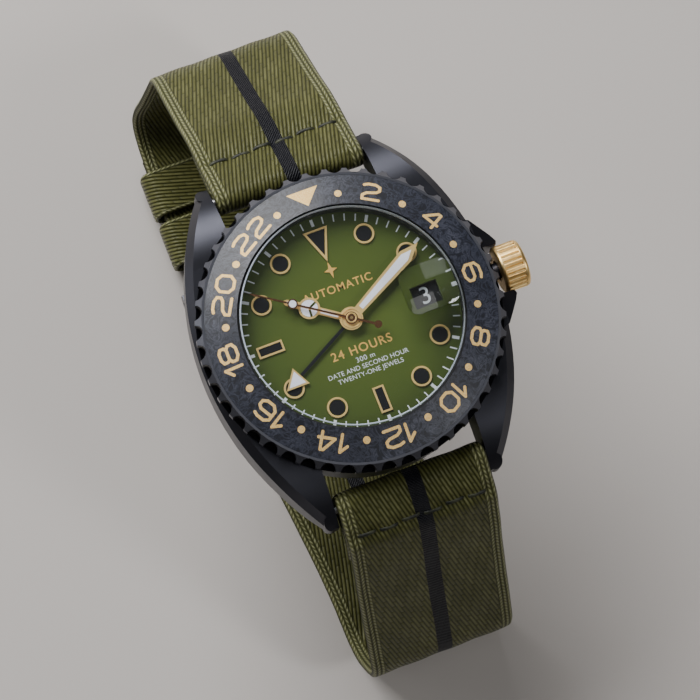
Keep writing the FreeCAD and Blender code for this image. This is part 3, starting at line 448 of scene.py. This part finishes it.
minute_fill = [(-0.33, 2.0), (0.33, 2.0), (0.6, 11.2), (0, 12.6), (-0.6, 11.2)]
joined("minute_hand_filling", [flat_shape("fill", minute_fill, MINUTE_TOP, lume, 0.03, MINUTE_ANGLE)],
       "minute_group")
hour_stem = [(-0.27, 1.75), (0.27, 1.75), (0.27, 4.2), (-0.27, 4.2)]
hour_tip = [(-0.24, 7.4), (0.24, 7.4), (0.2, 8.8), (0, 9.1), (-0.2, 8.8)]
DISC_CENTRE = 5.8
hour_fill = [flat_shape("fill", hour_stem, HOUR_TOP, lume, 0.03, HOUR_ANGLE)]
for first in (0, 120, 240):
    sector = arc_points(1.16, DISC_CENTRE, first + 8, first + 112, 14)
    middle = math.radians(first + 60)
    sector.append((0.17 * math.sin(middle), DISC_CENTRE + 0.17 * math.cos(middle)))
    hour_fill.append(flat_shape("fill", sector, HOUR_TOP, lume, 0.02, HOUR_ANGLE))
hour_fill.append(flat_shape("fill", hour_tip, HOUR_TOP, lume, 0.03, HOUR_ANGLE))
joined("hour_hand_filling", hour_fill, "hour_group")
lamp = arc_points(0.5, 8.1, 0, 345, 24)
joined("seconds_hand_filling", [flat_shape("fill", lamp, SECONDS_TOP, lume, 0.02, SECONDS_ANGLE)],
       "seconds_group")
gmt_rim = [(-1.52, 10.3), (1.52, 10.3), (0, 13.2)]
gmt_fill = [(-1.1, 10.52), (1.1, 10.52), (0, 12.65)]
joined("gmt_hand_head", [flat_shape("rim", gmt_rim, GMT_TOP, gold, 0.02, GMT_ANGLE),
                         flat_shape("fill", gmt_fill, GMT_TOP, lume, 0.04, GMT_ANGLE)],
       "gmt_group")
hub_rings = []
for radius, level in ((1.3, MINUTE_TOP), (0.62, SECONDS_TOP)):
    bpy.ops.object.select_all(action="DESELECT")
    bpy.ops.mesh.primitive_torus_add(major_radius=radius * MM, minor_radius=0.11 * MM, major_segments=48,
                                     minor_segments=10)
    ring = bpy.context.object
    ring.data.transform(Matrix.Translation((0, 0, level * MM)))
    gold.dress(ring)
    hub_rings.append(ring)
joined("minute_hub_ring", hub_rings[:1], "minute_group")
joined("seconds_hub_ring", hub_rings[1:], "seconds_group")

# Crown: turned brass with a fluted grip, gilt and polished, on a steel stem that runs into
# the movement.
crown_gold = Finish("crown_gilt", Metallic=1.0)
crown_wear = crown_gold.noise(1.1, detail=4)
crown_gold.set(Base_Color=crown_gold.ramp(crown_wear, (0.3, (0.92, 0.6, 0.22)), (0.7, (1.0, 0.74, 0.34))))
crown_gold.set(Roughness=0.3 + 0.14 * crown_wear)
crown_gold.bump(crown_wear, 0.15, 0.02)
crown_gold.dress("crown")

# Movement: nickel-plated brass plates with fine graining, gilt wheels, steel pinions, ruby
# bearings and blued screws, with a brushed winding weight on a ball bearing under the back.
plated = Finish("rhodium_plate", Base_Color=(0.62, 0.6, 0.56), Metallic=1.0)
plate_x, plate_y, plate_z = plated.parts(plated.place())
pearl = ((plate_x * 3.1).math("SINE") * (plate_y * 3.1).math("SINE") + 1.0) / 2.0
plate_grain = plated.noise(6.0, detail=3)
plated.set(Roughness=0.24 + 0.16 * pearl + 0.06 * plate_grain)
plated.bump(pearl + 0.3 * plate_grain, 0.25, 0.01)
plated.dress("main_plate", "balance_cock", "movement_holder")
striped = Finish("striped_bridge", Base_Color=(0.66, 0.64, 0.6), Metallic=1.0)
stripe_x, stripe_y, stripe_z = striped.parts(striped.place())
stripes = ((stripe_x * 1.3 + stripe_y * 0.9).math("SINE") + 1.0) / 2.0
brushing = striped.noise(1.0, striped.node("CombineXYZ", {}, stripe_x * 1.2 + stripe_y * 0.8,
                                           (stripe_y - stripe_x) * 9.0))
striped.set(Roughness=0.2 + 0.16 * stripes + 0.1 * brushing)
striped.bump(stripes + 0.2 * brushing, 0.3, 0.02)
striped.dress("train_bridge")
rotor_finish = Finish("rotor_steel", Base_Color=(0.56, 0.56, 0.57), Metallic=1.0)
rotor_x, rotor_y, rotor_z = rotor_finish.parts(rotor_finish.place())
rotor_radius = (rotor_x * rotor_x + rotor_y * rotor_y).math("SQRT")
rings = rotor_finish.noise(1.0, rotor_finish.node("CombineXYZ", {}, rotor_radius * 9.0, 0.0, 0.0), detail=3)
rotor_finish.set(Roughness=0.22 + 0.22 * rings)
rotor_finish.bump(rings, 0.2, 0.01)
rotor_finish.dress("rotor_weight", "rotor_bearing")
train_brass = Finish("gilt_train", Base_Color=(0.8, 0.56, 0.24), Metallic=1.0)
train_grain = train_brass.noise(5.0, detail=3)
train_brass.set(Roughness=0.2 + 0.2 * train_grain)
train_brass.bump(train_grain, 0.15, 0.01)
train_brass.dress("third_wheel", "fourth_wheel", "cannon_pinion", "hour_wheel", "gmt_wheel", "minute_wheel",
                  "mainspring_barrel", "balance_wheel")
train_steel = Finish("snailed_steel", Base_Color=(0.52, 0.52, 0.54), Metallic=1.0)
steel_grain = train_steel.noise(5.0, detail=3)
train_steel.set(Roughness=0.18 + 0.22 * steel_grain)
train_steel.bump(steel_grain, 0.2, 0.01)
train_steel.dress("escape_wheel", "pallet_fork", "ratchet_wheel", "crown_wheel", "winding_pinion",
                  "sliding_pinion", "winding_stem")
blued = Finish("blued_steel", Base_Color=(0.05, 0.09, 0.36), Metallic=1.0)
blue_heat = blued.noise(2.0, detail=3)
blued.set(Base_Color=blued.ramp(blue_heat, (0.3, (0.03, 0.06, 0.28)), (0.7, (0.08, 0.13, 0.45))),
          Roughness=0.18 + 0.1 * blue_heat)
blued.dress("movement_screws", "hairspring", "mainspring")
ruby = Finish("ruby", Transmission_Weight=0.5, Roughness=0.05, IOR=1.76)
ruby_depth = ruby.noise(3.0, detail=2)
ruby.set(Base_Color=ruby.ramp(ruby_depth, (0.3, (0.42, 0.005, 0.05)), (0.7, (0.68, 0.02, 0.12))))
ruby.dress("jewel_bearings")

# Webbing strap: two lengths of olive ribbed nylon with a black stripe woven down the middle and
# corded edges. Each is folded round its spring bar and sewn across with dark thread.
STRAP_HALF = 10.8
STITCH_PITCH = 3.2
BAR_Y, BAR_Z = 22.7, 42.4
BUCKLE_SIDEWAYS = -2.6
HOLE_PLACES, HOLE_RADIUS = (13.55, 28.0, 35.9), 1.05
ARC_STEPS, ARCH_STEPS, CORNER_STEPS = 12, 8, 8
STITCH_REACH = 1.32


def rounded(corners, radii, spacing=0.55):
    """Even points, headings and travelled lengths along straight runs joined by arcs."""
    corners = [Vector(c) for c in corners]
    points = [corners[0]]
    for i, radius in enumerate(radii):
        before, corner, after = corners[i:i + 3]
        into, onward = (corner - before).normalized(), (after - corner).normalized()
        turn = into.angle_signed(onward)
        reach = radius * math.tan(abs(turn) / 2)
        side = 1 if turn < 0 else -1
        start = corner - into * reach
        centre = start + side * radius * Vector((-into.y, into.x))
        for k in range(ARC_STEPS + 1):
            arm = Matrix.Rotation(-turn * k / ARC_STEPS, 2) @ (start - centre)
            points.append(centre + arm)
    points.append(corners[-1])
    lengths = np.concatenate([[0], np.cumsum([(b - a).length for a, b in zip(points, points[1:])])])
    wanted = np.linspace(0, lengths[-1], max(3, int(lengths[-1] / spacing)))
    flat = np.array([tuple(p) for p in points])
    path = np.stack([np.interp(wanted, lengths, flat[:, 0]), np.interp(wanted, lengths, flat[:, 1])], 1)
    slopes = np.gradient(path, axis=0)
    return path, np.arctan2(slopes[:, 1], slopes[:, 0]), wanted


def sweep(name, stations, profile, closed=False, push=None):
    """A grid wrapped along stations of (centre, side, normal) with an outline of (side, normal)."""
    stations = stations + stations[:1] if closed else stations
    outline = profile + profile[:1]
    columns, rows = len(profile), len(stations) - 1
    bpy.ops.object.select_all(action="DESELECT")
    bpy.ops.mesh.primitive_grid_add(x_subdivisions=columns, y_subdivisions=rows, size=MM)
    piece = bpy.context.object
    piece.name = name
    mesh = piece.data
    places, flat_places, travelled = [], [], 0.0
    for i, (centre, side, normal) in enumerate(stations):
        travelled += (centre - stations[i - 1][0]).length if i else 0.0
        for across, rise in outline:
            lift = push(travelled, across, rise) if push else 0.0
            places.append((centre + side * across + normal * (rise + lift)) * MM)
            flat_places.append((travelled, across))
    mesh.vertices.foreach_set("co", np.array(places).ravel())
    mesh.uv_layers[0].name = "weave"
    for loop, corner in zip(mesh.loops, mesh.uv_layers[0].data):
        corner.uv = flat_places[loop.vertex_index]
    bpy.ops.object.mode_set(mode="EDIT")
    bpy.ops.mesh.select_all(action="SELECT")
    bpy.ops.mesh.remove_doubles(threshold=0.0004 * MM)
    bpy.ops.mesh.select_all(action="DESELECT")
    if not closed:
        bpy.ops.mesh.select_non_manifold()
        bpy.ops.mesh.edge_face_add()
    bpy.ops.mesh.select_all(action="SELECT")
    bpy.ops.mesh.normals_make_consistent(inside=False)
    bpy.ops.object.mode_set(mode="OBJECT")
    bpy.ops.object.shade_smooth_by_angle(angle=math.radians(50))
    return piece


def webbing_profile(half, thickness, columns=46, edge=0.9):
    """A flat band's outline with rounded edges, from left to right above and back below."""
    spread = [half * math.sin(math.pi / 2 * (2 * i / columns - 1)) * 0.35
              + half * (2 * i / columns - 1) * 0.65 for i in range(columns + 1)]

    def rise(across):
        inset = max(0.0, (abs(across) - (half - edge)) / edge)
        return thickness / 2 * math.sqrt(max(0.0, 1 - inset ** 2.4))
    return [(a, rise(a)) for a in spread] + [(a, -rise(a)) for a in spread[-2:0:-1]]


def weave_height(finish, along, across, lean=0.3, pitch=0.56, float_length=3.1):
    """Rounded slanting ribs of yarn that dip where each float ends; also a value per yarn."""
    rib = (across - along * lean) / pitch
    index = rib.math("FLOOR")
    round_rib = (rib.math("FRACT") * math.pi).math("SINE").math("POWER", 0.6)
    run = along / float_length + index * 0.371
    dip = 1.0 - (run.math("FRACT") * 2.0 - 1.0).math("ABSOLUTE").math("POWER", 8.0)
    seat = finish.node("CombineXYZ", {}, index * 1.7, run.math("FLOOR") * 2.3)
    yarn = finish.node("TexWhiteNoise", {"noise_dimensions": "3D"}, Vector=seat)
    return round_rib * (0.62 + 0.38 * dip), yarn


def webbing(name, stripe_at, stripe_half, edge_at=8.9, light=1.0):
    """Nylon webbing in UV millimetres: slanting ribs, corded edges and a woven stripe."""
    cloth = Finish(name, Specular_IOR_Level=0.3, Sheen_Weight=0.06, Sheen_Roughness=0.4)
    uv = cloth.node("UVMap", {"uv_map": "weave"})
    along, across, flat = cloth.parts(uv)
    body, yarn = weave_height(cloth, along, across)
    fibre = cloth.noise(1.0, cloth.node("CombineXYZ", {}, along * 1.3, across * 16.0), detail=3)
    cord = (across.math("ABSOLUTE") - edge_at) / 0.62
    chevron = (along / 0.75 + cord.math("PINGPONG", 1.0) * 0.9).math("FRACT")
    edge = (cord.math("FRACT") * math.pi).math("SINE") * (0.45 + 0.55 * (chevron * math.pi).math("SINE"))
    in_edge = across.math("ABSOLUTE") > edge_at
    in_stripe = (across - stripe_at).math("ABSOLUTE") < stripe_half
    stripe, stripe_yarn = weave_height(cloth, along, across, 1.0, 0.42, 0.9)
    height = body + in_edge * (edge - body)
    height = height + in_stripe * (stripe * 0.8 - height)
    broad = cloth.noise(0.22, detail=3)
    # The colour follows each yarn's own random tone and also the weave's height: grooves between ribs and
    # cords are painted darker as shade, and crests lighter as painted highlight, most on the corded edges.
    tone = cloth.ramp(0.62 * height + 0.12 * yarn + 0.3 * fibre - 0.05 + 0.25 * (broad - 0.5),
                      (0.12, tuple(light * c for c in (0.016, 0.017, 0.004))),
                      (0.45, tuple(light * c for c in (0.054, 0.056, 0.013))),
                      (0.72, tuple(light * c for c in (0.098, 0.1, 0.028))),
                      (0.95, tuple(light * c for c in (0.2, 0.2, 0.08))))
    pale = cloth.ramp(0.6 * height + 0.4 * fibre, (0.2, (0.02, 0.022, 0.006)), (0.6, (0.14, 0.145, 0.05)),
                      (0.9, (0.42, 0.42, 0.24)))
    navy = cloth.ramp(0.6 * height + 0.4 * fibre, (0.2, (0.001, 0.001, 0.002)), (0.9, (0.009, 0.01, 0.017)))
    colour = cloth.mix(in_edge, tone, pale)
    cloth.set(Base_Color=cloth.mix(in_stripe, colour, navy))
    cloth.set(Roughness=0.62 - 0.22 * height)
    cloth.bump(height + 0.12 * fibre, 0.9, 0.22)
    return cloth


upper_cloth = webbing("olive_webbing_upper", 0.5, 1.0)
lower_cloth = webbing("olive_webbing_lower", 0.25, 1.1)
OFF_THE_BAND = 50.0
keeper_cloth = webbing("olive_webbing_keeper", OFF_THE_BAND, 0.1, 2.9, 1.15)
thread = Finish("dark_thread", Roughness=0.55)
twist_x, twist_y, twist_z = thread.parts(thread.place())
twist = ((twist_x * 2.6 + twist_y * 1.1).math("SINE") + 1.0) / 2.0
# The thread's colour follows the wave of its twist: painted darker in the hollows as shade and lighter on the
# crests.
thread.set(Base_Color=thread.ramp(twist, (0.2, (0.008, 0.01, 0.005)), (0.9, (0.035, 0.038, 0.018))))
thread.bump(twist, 0.5, 0.05)


def eased(value, start, end):
    """A smooth step from 0 to 1 between start and end."""
    t = min(1.0, max(0.0, (value - start) / (end - start)))
    return t * t * (3 - 2 * t)


def lower_shift(y, z):
    """How far sideways the lower half has wandered, which is only under the wrist."""
    return BUCKLE_SIDEWAYS * eased(y, -32.0, 4.0) if z < 9.0 else 0.0


def upper_shift(y, z):
    """How far sideways the upper half has wandered, more towards the buckle."""
    return BUCKLE_SIDEWAYS * eased(27.0 - z, 0.0, 21.0)


def strap_stations(corners, radii, shift, outside=1):
    """Stations of a strap half from its route in the YZ plane, with the normal to its outside."""
    path, headings, lengths = rounded(corners, radii)
    stations = []
    for (y, z), heading, length in zip(path, headings, lengths):
        sway = 0.05 * math.sin(length / 2.9) + 0.04 * math.sin(length / 1.3 + 1.0)
        normal = Vector((0, -math.sin(heading), math.cos(heading))) * outside
        centre = Vector((shift(y, z) + 0.08 * math.sin(length / 7.0), y, z)) + normal * sway
        stations.append((centre, Vector((1, 0, 0)), normal))
    return stations


def pucker(seam):
    """Cloth drawn down along a seam, most where each stitch enters."""
    def lift(length, across, rise):
        if rise <= 0:
            return 0.0
        near = math.exp(-((length - seam) / 0.75) ** 2)
        wave = 0.05 * math.sin(across * 1.1 + length * 0.35) * eased(rise, 0.1, 0.5)
        return wave - near * (0.24 + 0.2 * math.cos(2 * math.pi * across / STITCH_PITCH))
    return lift


def seam_stitches(name, station, half, body):
    """Dark running stitches across a strap, each a low arch of thread."""
    centre, side, normal = station
    along = side.cross(normal)
    pieces = []
    profile = [(0.24 * math.cos(a), 0.13 * math.sin(a)) for a in np.linspace(0, 2 * math.pi, 9)[:-1]]
    for middle in np.arange(-half, half + 0.1, STITCH_PITCH):
        arch = []
        for k in range(ARCH_STEPS + 1):
            t = k / ARCH_STEPS * 2 - 1
            point = centre + side * (middle + STITCH_REACH * t) + normal * (0.5 - 0.34 * t ** 4)
            point += along * 0.12 * math.sin(middle)
            arch.append((point, along, normal))
        stitch = sweep("stitch", arch, profile)
        thread.dress(stitch)
        pieces.append(stitch)
    joined(name, pieces, body)


def nearest(stations, y, z):
    """The station closest to a place on the route."""
    return min(range(len(stations)), key=lambda i: (stations[i][0].y - y) ** 2 + (stations[i][0].z - z) ** 2)


def travel_to(stations, index):
    """The length along the route as far as one station."""
    return sum((stations[i + 1][0] - stations[i][0]).length for i in range(index))


def block_piece(name, low, high):
    """A plain box between two corners, to cut with."""
    bpy.ops.object.select_all(action="DESELECT")
    bpy.ops.mesh.primitive_cube_add(size=1)
    block = bpy.context.object
    block.name = name
    middle = (Vector(low) + Vector(high)) / 2 * MM
    extent = (Vector(high) - Vector(low)) * MM
    block.data.transform(Matrix.Translation(middle) @ Matrix.Diagonal((*extent, 1)))
    return block


def boolean_cut(piece, tool):
    """Takes one closed piece out of another."""
    bpy.ops.object.select_all(action="DESELECT")
    bpy.context.view_layer.objects.active = piece
    piece.select_set(True)
    modifier = piece.modifiers.new("cut", "BOOLEAN")
    modifier.object = tool
    modifier.operation = "DIFFERENCE"
    bpy.ops.object.modifier_apply(modifier="cut")
    bpy.data.objects.remove(tool, do_unlink=True)


# Upper strap: the 12 o'clock half of the webbing. Its end is folded back round the spring bar and
# sewn across, and its other end is folded round the buckle's bar, with a gap for the tongue.
away, above = Vector((0.932, -0.362)), Vector((0.362, 0.932))
upper_bar = Vector((BAR_Y, BAR_Z))
upper_corners = [upper_bar + 9.0 * away - 0.62 * above, upper_bar - 1.5 * above - 1.5 * away,
                 upper_bar + 1.5 * above - 1.5 * away, upper_bar + 4.4 * away + 0.66 * above,
                 upper_bar + 8.0 * away + 0.5 * above, (33.0, 38.4), (46.9, 27.2), (46.9, 3.6), (24.6, 3.6),
                 (20.9, 2.3), (17.0, 2.15), (17.0, 5.1), (20.6, 5.0), (23.4, 4.75)]
upper_radii = [1.45, 1.45, 5.0, 4.0, 11.0, 9.0, 7.0, 4.0, 3.0, 1.3, 1.3, 2.0]
upper_stations = strap_stations(upper_corners, upper_radii, upper_shift)
band_outline = webbing_profile(STRAP_HALF, 1.1)
top_seam = nearest(upper_stations, 27.9, 41.2)
upper_strap = sweep("webbing_upper", upper_stations, band_outline,
                    push=pucker(travel_to(upper_stations, top_seam)))
boolean_cut(upper_strap, block_piece("tongue_gap", (BUCKLE_SIDEWAYS - 1.3, 14.0, 0.0),
                                     (BUCKLE_SIDEWAYS + 1.3, 22.5, 7.0)))
upper_cloth.dress(upper_strap)
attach(upper_strap, "upper_strap")
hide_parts("strap_short")
seam_stitches("stitches_upper", upper_stations[top_seam], 8.0, "upper_strap")

# Lower strap: the 6 o'clock half, folded round its own spring bar and sewn in the same way. It runs
# under the wrist and through the buckle, with holes punched for the tongue, to a cut and sealed tip.
away, above = Vector((-0.912, -0.41)), Vector((-0.41, 0.912))
lower_bar = Vector((-BAR_Y, BAR_Z))
lower_corners = [(-28.9, 36.2), (-26.9, 39.8), lower_bar - 1.5 * above - 1.5 * away,
                 lower_bar + 1.5 * above - 1.5 * away, (-28.05, 40.85), (-31.0, 35.7), (-43.5, 12.2),
                 (-38.4, 0.65), (2.2, 0.65), (7.5, 3.6), (18.0, 0.66), (23.6, 1.72), (41.8, 1.72)]
lower_radii = [3.0, 1.45, 1.45, 4.5, 20.0, 9.0, 6.0, 5.0, 5.0, 6.0, 7.0]
lower_stations = strap_stations(lower_corners, lower_radii, lower_shift, -1)
bottom_seam = nearest(lower_stations, -26.9, 41.4)
lower_strap = sweep("webbing_lower", lower_stations, webbing_profile(STRAP_HALF, 1.15),
                    push=pucker(travel_to(lower_stations, bottom_seam)))
JUST_ABOVE_FLOOR = 0.01
for corner in lower_strap.data.vertices:
    corner.co.z = max(corner.co.z, JUST_ABOVE_FLOOR * MM)
for hole_y in HOLE_PLACES:
    bpy.ops.object.select_all(action="DESELECT")
    bpy.ops.mesh.primitive_cylinder_add(vertices=40, radius=HOLE_RADIUS * MM, depth=6 * MM)
    punch = bpy.context.object
    punch.data.transform(Matrix.Translation((BUCKLE_SIDEWAYS * MM, hole_y * MM, 1.8 * MM)))
    boolean_cut(lower_strap, punch)
lower_cloth.dress(lower_strap)
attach(lower_strap, "lower_strap")
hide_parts("strap_long")
seam_stitches("stitches_lower", lower_stations[bottom_seam], 8.0, "lower_strap")

# Keepers: two loops of narrow webbing. The first is sewn to the upper strap, and the second
# slides along to hold the end of the lower one.
def keeper_band(name, start, end, body, node):
    """A loop round both layers of the strap, woven across it."""
    middle_x, middle_z, across, up, corner = BUCKLE_SIDEWAYS, 2.7, 11.72, 2.22, 1.5
    loop = []
    for quarter, (side_x, side_z) in enumerate(((1, 1), (-1, 1), (-1, -1), (1, -1))):
        for k in range(CORNER_STEPS + 1):
            angle = math.radians(quarter * 90 + k * 90 / CORNER_STEPS)
            loop.append((Vector((middle_x + side_x * (across - corner) + corner * math.cos(angle),
                                 (start + end) / 2,
                                 middle_z + side_z * (up - corner) + corner * math.sin(angle))), angle))
    stations = []
    for i, (point, angle) in enumerate(loop):
        following, next_angle = loop[(i + 1) % len(loop)]
        steps = max(1, int((following - point).length / 0.6))
        for k in range(steps):
            t = k / steps
            here = point.lerp(following, t)
            lean = angle if steps > 3 else angle + t * ((next_angle - angle) % (2 * math.pi))
            bulge = 0.12 * math.cos(math.pi * (here.x - middle_x) / (2 * across))
            outward = Vector((math.cos(lean), 0, math.sin(lean)))
            stations.append((here + Vector((0, 0, bulge * (1 if here.z > middle_z else -0.5))),
                             Vector((0, 1, 0)), outward))
    band = sweep(name, stations, webbing_profile((end - start) / 2, 0.85, 20, 0.6), closed=True)
    keeper_cloth.dress(band)
    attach(band, body)
    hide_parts(node)


keeper_band("keeper_band_fixed", 24.5, 31.4, "upper_strap", "keeper_fixed")
keeper_band("keeper_band_sliding", 32.4, 39.4, "sliding_keeper", "keeper_sliding")

# Buckle, spring bars and their tips: bent steel wire and strip. The buckle is coated black; the
# spring bars are left as drawn steel.
buckle_black = Finish("buckle_black", Base_Color=(0.07, 0.073, 0.085), Metallic=0.85)
blasted(buckle_black, 0.32)
buckle_black.dress("buckle_frame", "buckle_tongue", "buckle_bar")
drawn_steel = Finish("drawn_steel", Base_Color=(0.5, 0.5, 0.52), Metallic=1.0)
steel_x, steel_y, steel_z = drawn_steel.parts(drawn_steel.place())
along_bar = drawn_steel.node("CombineXYZ", {}, steel_x * 0.6, steel_y * 14.0, steel_z * 14.0)
drawn = drawn_steel.noise(1.0, along_bar)
drawn_steel.set(Roughness=0.24 + 0.2 * drawn)
drawn_steel.bump(drawn, 0.2, 0.01)
drawn_steel.dress("spring_bar_upper", "spring_bar_lower", "spring_bar_tip_upper_left",
                  "spring_bar_tip_upper_right", "spring_bar_tip_lower_left", "spring_bar_tip_lower_right",
                  "bezel_click_spring")
